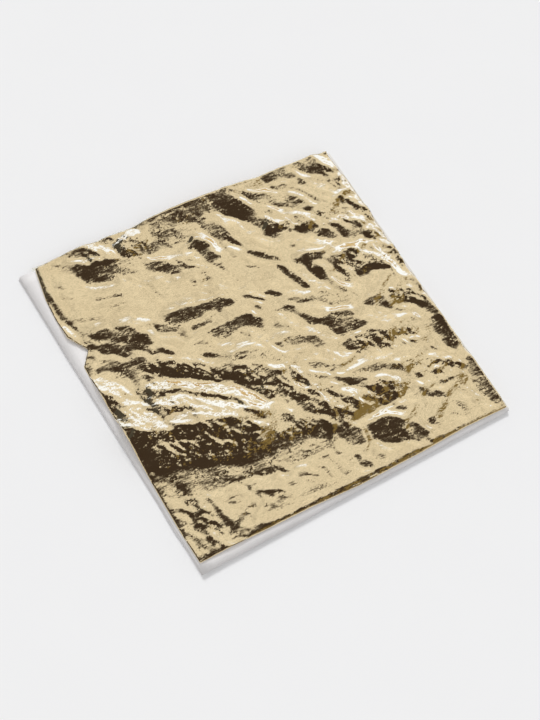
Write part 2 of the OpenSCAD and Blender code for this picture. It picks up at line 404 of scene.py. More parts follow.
# Hair folds: how many, how far out and how bent they are, and their angle, length, width
# and share of each kind
HAIR_SEED = 5
HAIR_COUNT = 260
HAIR_REACH = 68.0
HAIR_BEND = 0.12
HAIR_ANGLE = (-38.0, 40.0)
HAIR_LENGTH = (4.0, 13.0)
HAIR_WIDTH = (0.0, 0.8)
HAIR_KINDS = (0.3, 0.12, 0.5, 0.08)
# Half the width over which a facet turns into the next, how much wider than given each
# kind is, by factor and in millimetres, and how much it narrows to its ends
FACET_EDGE = 0.7
FACET_WIDEN = {"deep": 1.75, "near": 1.75, "soft": 2.0, "away": 1.1, "side": 1.25}
FACET_SPREAD = 0.5
FACET_TAPER = 0.3
# Half the width over which a tumbled patch fades out
TUMBLED_EDGE = 2.0
# Wobbles of the facets' lines, each with its size, cell and seed
LINE_WOBBLE = ((0.35, 6.0, 11), (0.2, 1.6, 12))
# How the leaf settles: hold of the loose parts, of parts that must lean back and of the
# facets, and its weight
LOOSE = 0.02
FIRM = 0.5
FACET_HOLD = 4.0
LEAF_WEIGHT = 0.003
# How firmly the edges lie down, in a band this wide
EDGE_WEIGHT = 0.008
EDGE_BAND = 5.0
# How firmly the page bears the leaf, and the heights over which it starts to
PAGE_PUSH = 0.02
PAGE_FEEL = (0.2, -0.1)
# Part of the back edge that curls up freely: where it starts from the front, the left and
# the right, and how free it is
CURL_DEPTH = (50.0, 62.0)
CURL_LEFT = (-45.0, -35.0)
CURL_RIGHT = (35.0, 20.0)
CURL_FREEDOM = 0.9
# How often the calm parts are made to lean back, and the solver's rounds each time
SETTLE_PASSES = 8
SETTLE_ROUNDS = 50
# Degrees that the calm parts keep clear of the lamp, and of the dark on the other sides
CALM_MARGIN = (8.0, 4.0)
# Cells along each side of the table of random numbers that value noise repeats
NOISE_TABLE = 256
# Small crumples: cell in millimetres, direction in degrees and seed, then the height on
# the calm parts, on the facets and on the tumbled patches
CRUMPLE = (
    ((12.0, 5.0), -35, 21, (0.105, 0.06, 0.15)),
    ((6.0, 2.4), -20, 22, (0.063, 0.036, 0.12)),
    ((3.0, 1.5), 40, 23, (0.035, 0.02, 0.08)),
    ((3.8, 1.4), -60, 24, (0.0, 0.0, 0.24)),
    ((2.0, 1.0), -30, 25, (0.0, 0.0, 0.14)),
)
# Strength of the grain on the calm parts, on the facets and on the tumbled patches
GRAIN_SHARE = (0.24, 0.42, 0.8)
# Least gap under the crumpled leaf, and the most that it is lifted to keep its folds whole
REST_GAP = 0.03
REST_LIFT = 0.3
# Cells between the places where the construction model's leaf is felt, and its rim's height
RELIEF_STEP = 4
RIM_HEIGHT = 0.26
# How far the crumpled leaf's grid reaches past its edges
EDGE_SPARE = 3.0
# Edges of the crumpled leaf, as place along the edge and offset, in millimetres
LEFT_EDGE = (
    (-70, -68.6), (-56, -69.4), (-35, -69.9), (-1.5, -70.6), (12, -71.0), (21, -71.0),
    (27, -66.4), (35, -71.4), (45, -71.8), (55, -71.5), (70, -69.3),
)
RIGHT_EDGE = (
    (-70, 70.1), (-56, 70.4), (-26.5, 69.7), (-9, 69.2), (13, 70.1), (32.5, 70.6),
    (40, 69.9), (55, 70.0), (58, 68.9), (70, 69.3),
)
FRONT_EDGE = (
    (-70, -68.9), (-58, -69.0), (-43, -69.4), (-22, -70.0), (-2, -71.2), (28, -71.2),
    (50, -70.6), (70, -71.3),
)
BACK_EDGE = (
    (-70, 67.9), (-58, 69.2), (-31, 68.9), (10, 68.6), (34, 68.2), (56, 67.8), (70, 67.4),
)
# The leaf ends left of this, so that it clears the glue when its page is turned
SPINE_REACH = 70.1

# Unevenness of the cut edges of pages and inner leaves, from how many places along an edge,
# and how fast it dies away inwards
PAGE_RAGGED = 0.0002
LEAF_RAGGED = 0.0003
RAGGED_PLACES = 8
RAGGED_FADE = 8
# Least margin of a page that shows beside its leaf at the fore edge
LEAF_MARGIN = 0.0008
# The pages' free edges lift in waves along the fore edge: how many radians of wave from
# front to back, where the wave starts, how it slants, its least share, and the share of the
# lift at the front and back corners
WAVE_RADIANS = 17.0
WAVE_START = 0.8
WAVE_SLANT = 3.0
WAVE_LEAST = 0.35
CORNER_LIFT = 0.5
# Colours of the glue and of its thicker streaks
GLUE = (0.80, 0.77, 0.69, 1.0)
GLUE_STREAKS = (0.70, 0.66, 0.56, 1.0)
# The table's side, how far it lies under the booklet, and its darker grain as a share
TABLE_SIDE = 6.0
TABLE_GAP = 0.0001
TABLE_SHADE = 0.985

# Colours of what the mirrors see, and of the pale backdrop that the camera sees
CEILING = (0.05, 0.037, 0.03, 1.0)
LAMP = (1.15, 1.40, 2.10, 1.0)
RIGHT_WALL = (0.24, 0.19, 0.085, 1.0)
LEFT_WALL = (0.07, 0.07, 0.07, 1.0)
ROOM = (0.70, 0.70, 0.70, 1.0)
BACKDROP = (0.86, 0.86, 0.865, 1.0)
# The softbox: its light near the ceiling, the degrees down over which it rises to full, and
# how much of that rise it lacks at its sides, over these degrees out
SOFTBOX_LEAST = 0.80
SOFTBOX_RISE = (2.0, 16.0)
SIDE_LOSS = 0.6
SIDE_FADE = (8.0, 28.0)
# Its uneven cloth: scale, the noise over which it clears, and its least light
CLOTH_SCALE = 15.0
CLOTH_FADE = (0.31, 0.60)
CLOTH_LEAST = 0.52
# Degrees down over which the right wall starts and ends, and out over which it ends
RIGHT_TOP = (-30.0, -20.0)
RIGHT_FOOT = (38.0, 50.0)
RIGHT_END = (50.0, 60.0)
# Degrees down over which the left wall ends
LEFT_FOOT = (60.0, 75.0)
# Degrees down over which the pale room takes over behind the viewer, and ends to the right
ROOM_BEHIND = (-35.0, -50.0)
ROOM_FOOT = (60.0, 70.0)
# The soft lamp's strength, its width in degrees and where it stands
SUN_STRENGTH = 1.4
SUN_DEGREES = 18.0
SUN_FROM = (0.35, 0.8, 0.9)


def smooth(low, high, value):
    """Soft step from 0 at low to 1 at high."""
    share = np.clip((value - low) / (high - low), 0, 1)
    return share * share * (3 - 2 * share)


def value_noise(x, y, cell, seed):
    """Smooth random heights over the plane, with one random number per cell corner."""
    draws = np.random.default_rng(seed).standard_normal((NOISE_TABLE, NOISE_TABLE))
    u, v = x / cell[0], y / cell[1]
    i, j = np.floor(u).astype(int), np.floor(v).astype(int)
    a, b = smooth(0, 1, u - i), smooth(0, 1, v - j)
    i, j = i % NOISE_TABLE, j % NOISE_TABLE
    after_i, after_j = (i + 1) % NOISE_TABLE, (j + 1) % NOISE_TABLE
    front = draws[j, i] * (1 - a) + draws[j, after_i] * a
    back = draws[after_j, i] * (1 - a) + draws[after_j, after_i] * a
    return front * (1 - b) + back * b


class Mirror:
    """What the leaf mirrors at each place of a grid, in millimetres from the leaf's middle."""

    def __init__(self, studio):
        eye, aim = Vector(studio.eye), Vector(studio.aim)
        ahead = (aim - eye).xy.normalized()
        self.far = np.array([ahead.x, ahead.y, 0.0])
        self.right = np.array([ahead.y, -ahead.x, 0.0])
        middle = Vector((LEAF_MIDDLE.x, LEAF_MIDDLE.y, BLOCK_TOP))
        self.eye = np.array(eye - middle) / MM

    def angles(self, x, y, slope_x=0.0, slope_y=0.0):
        """Degrees from overhead to the far side, and out to the right, for these slopes."""
        to_eye = self.eye - np.stack([x, y, np.zeros_like(x)], -1)
        to_eye /= np.linalg.norm(to_eye, axis=-1, keepdims=True)
        normal = np.stack([slope_x + 0 * x, slope_y + 0 * x, np.ones_like(x)], -1)
        normal /= np.linalg.norm(normal, axis=-1, keepdims=True)
        ray = 2 * (to_eye * normal).sum(-1, keepdims=True) * normal - to_eye
        down = np.degrees(np.arctan2(ray @ self.far, ray[..., 2]))
        out = np.degrees(np.arcsin(np.clip(ray @ self.right, -1, 1)))
        return down, out

    def lean(self, kind, start, end, width):
        """Slopes of a facet along the line from start to end. It leans across its line,
        and the more it is as wide as long, the more straight to what it mirrors."""
        down, out = self.angles((start + end)[:1] / 2, (start + end)[1:] / 2)
        if kind in NEAR_EXTRA:
            turn, aim = down[0] - CEILING_END + NEAR_EXTRA[kind], -self.far[:2]
        elif kind == "away":
            turn, aim = LAMP_START - down[0] + AWAY_EXTRA, self.far[:2]
        else:
            turn, aim = RIGHT_START - out[0] + SIDE_EXTRA, self.right[:2]
        run = end - start
        across = np.array([-run[1], run[0]]) / math.hypot(*run)
        across *= math.copysign(1, across @ aim)
        across = across + min(1.0, width / math.hypot(*run)) * aim
        across /= math.hypot(*across)
        degrees = min(turn / 2 / max(across @ aim, LEAST_SHARE), STEEPEST)
        return math.tan(math.radians(max(degrees, 0.0))) * across


def hair_folds():
    """Short thin folds scattered over the leaf, as facets."""
    rng = np.random.default_rng(HAIR_SEED)
    folds = []
    for _ in range(HAIR_COUNT):
        middle = rng.uniform(-HAIR_REACH, HAIR_REACH, 2)
        angle = math.radians(rng.normal(*HAIR_ANGLE))
        half = rng.uniform(*HAIR_LENGTH) / 2 * np.array([math.cos(angle), math.sin(angle)])
        bend = rng.normal(0, HAIR_BEND) * np.array([-half[1], half[0]])
        kind = rng.choice([N, A, S, R], p=HAIR_KINDS)
        line = np.concatenate([middle - half, middle + bend, middle + half])
        folds.append((kind, rng.uniform(*HAIR_WIDTH), *line))
    return folds


def facet_slopes(x, y, mirror):
    """Slope that each facet asks for, how firmly it holds, and where the leaf is tumbled."""
    slope_x, slope_y, hold, tumbled = (np.zeros_like(x) for _ in range(4))
    for kind, width, *line in hair_folds() + FACETS:
        points = (np.array(line).reshape(-1, 2) - FACET_ANCHOR) * FACET_STRETCH + FACET_ANCHOR
        nearest = np.full(x.shape, 1e9)
        lean_x, lean_y, along = (np.zeros_like(x) for _ in range(3))
        for step, (start, end) in enumerate(zip(points[:-1], points[1:])):
            run = end - start
            length = math.hypot(*run)
            share = ((x - start[0]) * run[0] + (y - start[1]) * run[1]) / length**2
            share = np.clip(share, 0, 1)
            gap = np.hypot(x - start[0] - share * run[0], y - start[1] - share * run[1])
            lean = (0.0, 0.0) if kind == "tumbled" else mirror.lean(kind, start, end, width)
            closer = gap < nearest
            nearest = np.where(closer, gap, nearest)
            lean_x = np.where(closer, lean[0], lean_x)
            lean_y = np.where(closer, lean[1], lean_y)
            along = np.where(closer, (step + share) / (len(points) - 1), along)
        if kind == "tumbled":
            inside = smooth(-TUMBLED_EDGE, TUMBLED_EDGE, width / 2 - nearest)
            tumbled = np.maximum(tumbled, inside)
            continue
        taper = 1 - FACET_TAPER * np.abs(2 * along - 1) ** 3
        reach = (FACET_WIDEN[kind] * width + FACET_SPREAD) / 2 * taper
        inside = smooth(-FACET_EDGE, FACET_EDGE, reach - nearest)
        slope_x = slope_x * (1 - inside) + lean_x * inside
        slope_y = slope_y * (1 - inside) + lean_y * inside
        hold = np.maximum(hold, inside)
    return slope_x, slope_y, hold, tumbled


def settle(slope_x, slope_y, weight, cell, base, weighing, rounds, start):
    """Height of a sheet whose slopes follow these ones, by weight, and which is drawn to a
    base by weighing. Solved by conjugate gradients."""
    size = len(weight)
    weight_x = (weight[:, 1:] + weight[:, :-1]) / 2
    weight_y = (weight[1:] + weight[:-1]) / 2
    rise_x = -(slope_x[:, 1:] + slope_x[:, :-1]) / 2 * cell
    rise_y = -(slope_y[1:] + slope_y[:-1]) / 2 * cell

    def gather(flow_x, flow_y):
        total = np.zeros((size, size))
        total[:, 1:] += flow_x
        total[:, :-1] -= flow_x
        total[1:] += flow_y
        total[:-1] -= flow_y
        return total

    def pull(height):
        flow_x, flow_y = weight_x * np.diff(height, axis=1), weight_y * np.diff(height, axis=0)
        return gather(flow_x, flow_y) + weighing * height

    waves_y = 2 - 2 * np.cos(2 * np.pi * np.fft.fftfreq(2 * size))
    waves_x = 2 - 2 * np.cos(2 * np.pi * np.fft.rfftfreq(2 * size))
    typical = np.exp(np.log(weight).mean())
    stiffness = typical * (waves_y[:, None] + waves_x) + np.exp(np.log(weighing).mean())

    def loosen(rest):
        folded = np.concatenate([rest, rest[::-1]], 0)
        folded = np.concatenate([folded, folded[:, ::-1]], 1)
        spread = np.fft.irfft2(np.fft.rfft2(folded) / stiffness, s=folded.shape)
        return spread[:size, :size]

    height = start.copy()
    rest = gather(weight_x * rise_x, weight_y * rise_y) + weighing * base - pull(height)
    move = loosen(rest)
    energy = (rest * move).sum()
    for _ in range(rounds):
        pulled = pull(move)
        length = energy / (move * pulled).sum()
        height += length * move
        rest -= length * pulled
        eased = loosen(rest)
        fresh = (rest * eased).sum()
        move = eased + fresh / energy * move
        energy = fresh
    return height


def leaf_relief(x, y, base, mirror):
    """Height of the crumpled leaf over its page in millimetres, near a base height: the
    facets hold their lean, and what lies between them stays calm enough to mirror the pale
    softbox. Also the share of facet and of tumbled patch at each place."""
    wobble_x = sum(a * value_noise(x, y, (c, c), s) for a, c, s in LINE_WOBBLE)
    wobble_y = sum(a * value_noise(x, y, (c, c), s + 50) for a, c, s in LINE_WOBBLE)
    facet_x, facet_y, hold, tumbled = facet_slopes(x + wobble_x, y + wobble_y, mirror)
    cell = x[0, 1] - x[0, 0]
    height = base
    slope_x, slope_y, weight = facet_x, facet_y, LOOSE + FACET_HOLD * hold
    down, out = mirror.angles(x, y)
    most = np.tan(np.radians((LAMP_START - CALM_MARGIN[0] - down) / 2))
    least = -np.tan(np.radians((down - CEILING_END - CALM_MARGIN[1]) / 2))
    widest = np.tan(np.radians((RIGHT_START - CALM_MARGIN[1] - out) / 2))
    slimmest = -np.tan(np.radians((out + LEFT_START - CALM_MARGIN[1]) / 2))
    between = hold < 0.5
    far, right = mirror.far, mirror.right
    to_edge = LEAF_SIDE / MM / 2 - np.maximum(np.abs(x), np.abs(y))
    curl = smooth(*CURL_DEPTH, y) * smooth(*CURL_LEFT, x) * smooth(*CURL_RIGHT, x)
    firm = (1 - smooth(0, EDGE_BAND, to_edge)) * (1 - CURL_FREEDOM * curl)
    resting = LEAF_WEIGHT + EDGE_WEIGHT * firm
    weighing = resting
    for _ in range(SETTLE_PASSES):
        height = settle(slope_x, slope_y, weight, cell, base, weighing, SETTLE_ROUNDS, height)
        weighing = resting + PAGE_PUSH * smooth(*PAGE_FEEL, height)
        rise_y, rise_x = np.gradient(height, cell)
        ahead = -(rise_x * far[0] + rise_y * far[1])
        aside = -(rise_x * right[0] + rise_y * right[1])
        calm_ahead, calm_aside = np.clip(ahead, least, most), np.clip(aside, slimmest, widest)
        over = np.hypot(ahead - calm_ahead, aside - calm_aside) > 1e-4
        slope_x = np.where(between, calm_ahead * far[0] + calm_aside * right[0], facet_x)
        slope_y = np.where(between, calm_ahead * far[1] + calm_aside * right[1], facet_y)
        weight = np.where(between, np.where(over, FIRM, LOOSE), LOOSE + FACET_HOLD * hold)
    return height, hold, tumbled


def by_zone(values, hold, tumbled):
    """Value at each place, from those of calm parts, facets and tumbled patches."""
    calm, held, wild = values
    return (calm + (held - calm) * hold) * (1 - tumbled) + wild * tumbled


class Field:
    """A socket of a node tree. Sums on fields become Math nodes."""

    def __init__(self, paint, socket):
        self.paint = paint
        self.socket = socket

    def math(self, operation, *others):
        """A Math node on this field and others."""
        names = range(1 + len(others))
        return self.paint.field(
            "Math", {"operation": operation}, dict(zip(names, (self, *others)))
        )

    def __add__(self, other):
        return self.math("ADD", other)

    def __sub__(self, other):
        return self.math("SUBTRACT", other)

    def __mul__(self, other):
        return self.math("MULTIPLY", other)

    def __rsub__(self, other):
        return self.paint.field("Math", {"operation": "SUBTRACT"}, {0: other, 1: self})

    __radd__ = __add__
    __rmul__ = __mul__

    def step(self, low, high):
        """Soft step from 0 at low to 1 at high, which may lie below low."""
        start, end, bottom, top = (low, high, 0.0, 1.0) if low < high else (high, low, 1.0, 0.0)
        settings = {"interpolation_type": "SMOOTHSTEP"}
        sockets = {
            "Value": self, "From Min": start, "From Max": end, "To Min": bottom, "To Max": top
        }
        return self.paint.field("MapRange", settings, sockets, "Result")


class Paint:
    """The node tree of a material or of the world."""

    def __init__(self, owner):
        owner.use_nodes = True
        self.tree = owner.node_tree
        self.tree.nodes.clear()

    def node(self, kind, settings=None, sockets=None):
        """A new node: its settings first, then the values or links of its sockets."""
        made = self.tree.nodes.new("ShaderNode" + kind)
        for name, value in (settings or {}).items():
            setattr(made, name, value)
        for name, value in (sockets or {}).items():
            if isinstance(value, Field):
                self.tree.links.new(value.socket, made.inputs[name])
            else:
                made.inputs[name].default_value = value
        return made

    def field(self, kind, settings=None, sockets=None, output=0):
        """One output of a new node, as a field."""
        return Field(self, self.node(kind, settings, sockets).outputs[output])

    def blend(self, share, first, second):
        """Colour between two others."""
        settings = {"data_type": "RGBA"}
        return self.field("Mix", settings, {0: share, 6: first, 7: second}, 2)

    def dot(self, vector, direction):
        """How far a vector points along a direction."""
        settings = {"operation": "DOT_PRODUCT"}
        return self.field("VectorMath", settings, {0: vector, 1: direction}, "Value")

    def vector(self, operation, *others):
        """One Vector Math node."""
        return self.field("VectorMath", {"operation": operation}, dict(enumerate(others)))

    def laid(self, place, stretch, turn):
        """A place turned and stretched for a pattern."""
        sockets = {"Vector": place, "Scale": stretch, "Rotation": (0, 0, turn)}
        return self.field("Mapping", None, sockets)

    def noise(self, place, scale, detail=2.0, roughness=0.5, stretch=(1, 1, 1), turn=0.0):
        """Noise on the object's own place, scale in features per metre."""
        sockets = {
            "Vector": self.laid(place, stretch, turn), "Scale": scale, "Detail": detail,
            "Roughness": roughness,
        }
        return self.field("TexNoise", None, sockets)

    def facets(self, place, scale, tilt, stretch=(1, 1, 1), turn=0.0):
        """What small flat facets, each tilted its own way, add to the normal."""
        sockets = {"Vector": self.laid(place, stretch, turn), "Scale": scale}
        own = self.field("TexVoronoi", None, sockets, "Color")
        return self.vector("MULTIPLY_ADD", own, (tilt,) * 3, (-tilt / 2,) * 3)

    def creases(self, place, scale, stretch=(1, 1, 1), turn=0.0):
        """Noise folded at its middle, so that it has sharp lines as crumpled foil does."""
        noise = self.noise(place, scale, 1.0, 0.5, stretch, turn)
        return (noise - 0.5).math("ABSOLUTE")

    def place(self):
        """Object coordinates."""
        return self.field("TexCoord", None, None, "Object")

    def bump(self, height, distance, normal=None):
        """Normal of a surface with this fine relief, in metres."""
        sockets = {"Height": height, "Distance": distance}
        if normal:
            sockets["Normal"] = normal
        return self.field("Bump", None, sockets)

    def surface(self, sockets):
        """Ends the material in a Principled shader."""
        shader = self.field("BsdfPrincipled", None, sockets)
        self.node("OutputMaterial", None, {"Surface": shader})


def gold_finish(name, leaf, crumpled):
    """Thin metal leaf: a mirror with fine crinkles, some of its shine broken up."""
    material = bpy.data.materials.new(name)
    paint = Paint(material)
    place = paint.place()
    tone = paint.noise(place, 90.0, 3.0)
    deep = paint.noise(place, 700.0, 2.0)
    colour = paint.blend(tone.step(0.35, 0.7), (*leaf.colour, 1.0), (*leaf.colour_worn, 1.0))
    rough = leaf.roughness + (deep - 0.5) * 0.06
    relief = paint.creases(place, 260.0, (0.5, 1.5, 1.0), 0.6)
    relief = relief + paint.creases(place, 330.0, (0.45, 1.6, 1.0), -0.5) * 0.7
    relief = relief + paint.creases(place, 700.0, (0.6, 1.4, 1.0), 0.9) * 0.35
    tilted = None
    if crumpled:
        strength = paint.field("Attribute", {"attribute_name": "grain"}, None, "Fac")
        strength = strength * (0.35 + paint.noise(place, 330.0).step(0.45, 0.7))
        tilt = paint.facets(place, 900.0, 0.22, (0.7, 1.3, 1.0), 0.6)
        tilt = paint.vector("ADD", tilt, paint.facets(place, 2000.0, 0.4, (0.8, 1.2, 1.0), -0.3))
        tilt = paint.field("VectorMath", {"operation": "SCALE"}, {0: tilt, 3: strength})
        facing = paint.field("NewGeometry", None, None, "Normal")
        tilted = paint.vector("NORMALIZE", paint.vector("ADD", facing, tilt))
        relief = relief * (0.4 + strength * 0.4)
    else:
        relief = relief * 0.25
    normal = paint.bump(relief, leaf.crinkle, tilted)
    paint.surface({
        "Base Color": colour, "Metallic": 1.0, "Roughness": rough, "Normal": normal
    })
    return material


def tissue_finish(name, paper):
    """Thin white tissue with its fibres."""
    material = bpy.data.materials.new(name)
    paint = Paint(material)
    place = paint.place()
    clouds = paint.noise(place, 60.0, 4.0)
    fibres = paint.creases(place, 500.0, (0.35, 1.6, 1.0), 0.3)
    fibres = fibres + paint.creases(place, 650.0, (1.5, 0.4, 1.0), -0.4)
    pale, deep = (*paper.colour, 1.0), (*paper.colour_deep, 1.0)
    colour = paint.blend(clouds.step(0.3, 0.75) * 0.6 + fibres * 0.8, pale, deep)
    normal = paint.bump(fibres + clouds * 0.7, 0.00006)
    paint.surface({
        "Base Color": colour, "Roughness": 0.85 - fibres * 0.2, "Normal": normal
    })
    return material


def glue_finish(name):
    """Milky padding glue, brushed on, with faint streaks along the spine."""
    material = bpy.data.materials.new(name)
    paint = Paint(material)
    place = paint.place()
    streaks = paint.noise(place, 300.0, 3.0, 0.6, (3.0, 0.25, 1.5))
    colour = paint.blend(streaks.step(0.3, 0.8), GLUE, GLUE_STREAKS)
    normal = paint.bump(streaks, 0.0002)
    paint.surface({
        "Base Color": colour, "Roughness": 0.35 + streaks * 0.2, "Normal": normal
    })
    return material


def closed_sheet(name, x, y, z, thickness, material):
    """A thin closed sheet over a grid of places in metres. z is the height of its underside."""
    rows, columns = x.shape
    count = rows * columns
    under = np.stack([x, y, z], -1).reshape(-1, 3)
    points = np.concatenate([under, under + (0.0, 0.0, thickness)])
    corner = (np.arange(rows - 1)[:, None] * columns + np.arange(columns - 1)).ravel()
    below = np.stack([corner, corner + columns, corner + columns + 1, corner + 1], -1)
    above = below[:, ::-1] + count
    front = np.arange(columns)
    right = np.arange(1, rows) * columns + columns - 1
    back = count - 2 - np.arange(columns - 1)
    left = np.arange(rows - 2, 0, -1) * columns
    ring = np.concatenate([front, right, back, left])
    after = np.roll(ring, -1)
    walls = np.stack([ring, after, after + count, ring + count], -1)
    faces = np.concatenate([below, above, walls])
    mesh = bpy.data.meshes.new(name)
    mesh.vertices.add(len(points))
    mesh.vertices.foreach_set("co", points.ravel())
    mesh.loops.add(faces.size)
    mesh.loops.foreach_set("vertex_index", faces.ravel())
    mesh.polygons.add(len(faces))
    mesh.polygons.foreach_set("loop_start", np.arange(0, faces.size, 4))
    mesh.update(calc_edges=True)
    mesh.validate()
    mesh.polygons.foreach_set("use_smooth", np.ones(len(faces), bool))
    mesh.materials.append(material)
    sheet = bpy.data.objects.new(name, mesh)
    bpy.context.scene.collection.objects.link(sheet)
    return sheet


def node_corners(node):
    """The four upright corners of a flat sheet of the construction model: front left,
    front right, back right and back left."""
    points = np.array([tuple(v.co) for v in frame["nodes"][node].data.vertices])
    signs = ((-1, -1), (1, -1), (1, 1), (-1, 1))
    return [points[np.argmax(points[:, 0] * a + points[:, 1] * b), :2] for a, b in signs]


def sheet_grid(corners, cells, ragged, seed):
    """Places on a sheet between its four corners, with slightly uneven edges."""
    share = np.linspace(0, 1, cells + 1)
    s, t = np.meshgrid(share, share)
    front_left, front_right, back_right, back_left = corners
    near = front_left + s[..., None] * (front_right - front_left)
    far = back_left + s[..., None] * (back_right - back_left)
    places = near + t[..., None] * (far - near)
    draws = np.random.default_rng(seed).standard_normal((3, RAGGED_PLACES))
    along = share * (RAGGED_PLACES - 1)
    left, front, back = (np.interp(along, range(RAGGED_PLACES), row) * ragged for row in draws)
    x = places[..., 0] + left[:, None] * (1 - s) ** RAGGED_FADE
    y = places[..., 1] + front * (1 - t) ** RAGGED_FADE + back * t**RAGGED_FADE
    return x, y


def page_lift(x, y, paper):
    """Share by which the block stands higher here than at rest: its free edges lift."""
    width, depth = PAGE_HIGH.x - PAGE_LOW.x, PAGE_HIGH.y - PAGE_LOW.y
    free = np.clip((PAGE_HIGH.x - x) / width, 0, 1)
    side = np.abs(2 * (y - PAGE_LOW.y) / depth - 1)
    wave = 0.5 + 0.5 * np.sin(y / depth * WAVE_RADIANS + WAVE_START + WAVE_SLANT * free)
    wave = WAVE_LEAST + (1 - WAVE_LEAST) * wave
    return paper.lift * (free**6 * wave + CORNER_LIFT * side**8 * free**2)


def lay_sheet(node, name, corners, material, ragged, seed, paper):
    """Replaces a flat sheet of the construction model by a finer one that lies the same."""
    low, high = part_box(node)
    x, y = sheet_grid(corners, paper.cells, ragged, seed)
    z = low.z * (1 + page_lift(x, y, paper))
    sheet = closed_sheet(name, x, y, z, high.z - low.z, material)
    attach(sheet, BODY_OF[node])
    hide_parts(node)
    return sheet


class BookletStudio(bpy.types.PropertyGroup):
    """Camera, lamps and table."""

    eye: FloatVectorProperty(
        name="Camera", description="Place of the camera", subtype="TRANSLATION",
        unit="LENGTH", default=(-0.1386, -0.1443, 0.3716),
    )
    aim: FloatVectorProperty(
        name="Aim", description="Place that the camera looks at", subtype="TRANSLATION",
        unit="LENGTH", default=(-0.0037, -0.0073, 0.0019),
    )
    roll: FloatProperty(
        name="Roll", description="Turn of the camera about its view", subtype="ANGLE",
        default=math.radians(15.93),
    )
    lens: FloatProperty(
        name="Lens", description="Focal length on a 36 mm frame", default=52.475, min=10.0,
        subtype="DISTANCE_CAMERA", unit="CAMERA",
    )
    table: FloatVectorProperty(
        name="Table", description="Colour of the table", subtype="COLOR",
        default=(0.88, 0.88, 0.885), min=0.0, max=1.0,
    )
    daylight: FloatProperty(
        name="Room light", description="Even light on everything that is not a mirror",
        default=0.675, min=0.0,
    )


class BookletPaper(bpy.types.PropertyGroup):
    """Tissue pages."""

    colour: FloatVectorProperty(
        name="Tissue", description="Colour of the tissue", subtype="COLOR",
        default=(0.90, 0.875, 0.865), min=0.0, max=1.0,
    )
    colour_deep: FloatVectorProperty(
        name="Tissue shade", description="Colour of its thicker spots", subtype="COLOR",
        default=(0.81, 0.785, 0.775), min=0.0, max=1.0,
    )
    lift: FloatProperty(
        name="Lift", description="How far the free edges lift, as a share of the block",
        default=0.18, min=0.0, max=1.0,
    )
    cells: IntProperty(
        name="Cells", description="Cells along each side of a page", default=30, min=4,
    )


class BookletLeaf(bpy.types.PropertyGroup):
    """Metal leaves."""

    colour: FloatVectorProperty(
        name="Metal", description="Colour of the metal", subtype="COLOR",
        default=(0.86, 0.70, 0.43), min=0.0, max=1.0,
    )
    colour_worn: FloatVectorProperty(
        name="Worn metal", description="Colour of its duller spots", subtype="COLOR",
        default=(0.82, 0.66, 0.40), min=0.0, max=1.0,
    )
    roughness: FloatProperty(
        name="Roughness", description="How far the mirror is broken up", default=0.10,
        min=0.02, max=1.0,
    )
    crinkle: FloatProperty(
        name="Crinkles", description="Height of the finest crinkles", default=0.0003,
        subtype="DISTANCE", unit="LENGTH", min=0.0,
    )
    cells: IntProperty(
        name="Cells", description="Cells along each side of the crumpled leaf", default=220,
        min=20, max=221,
    )


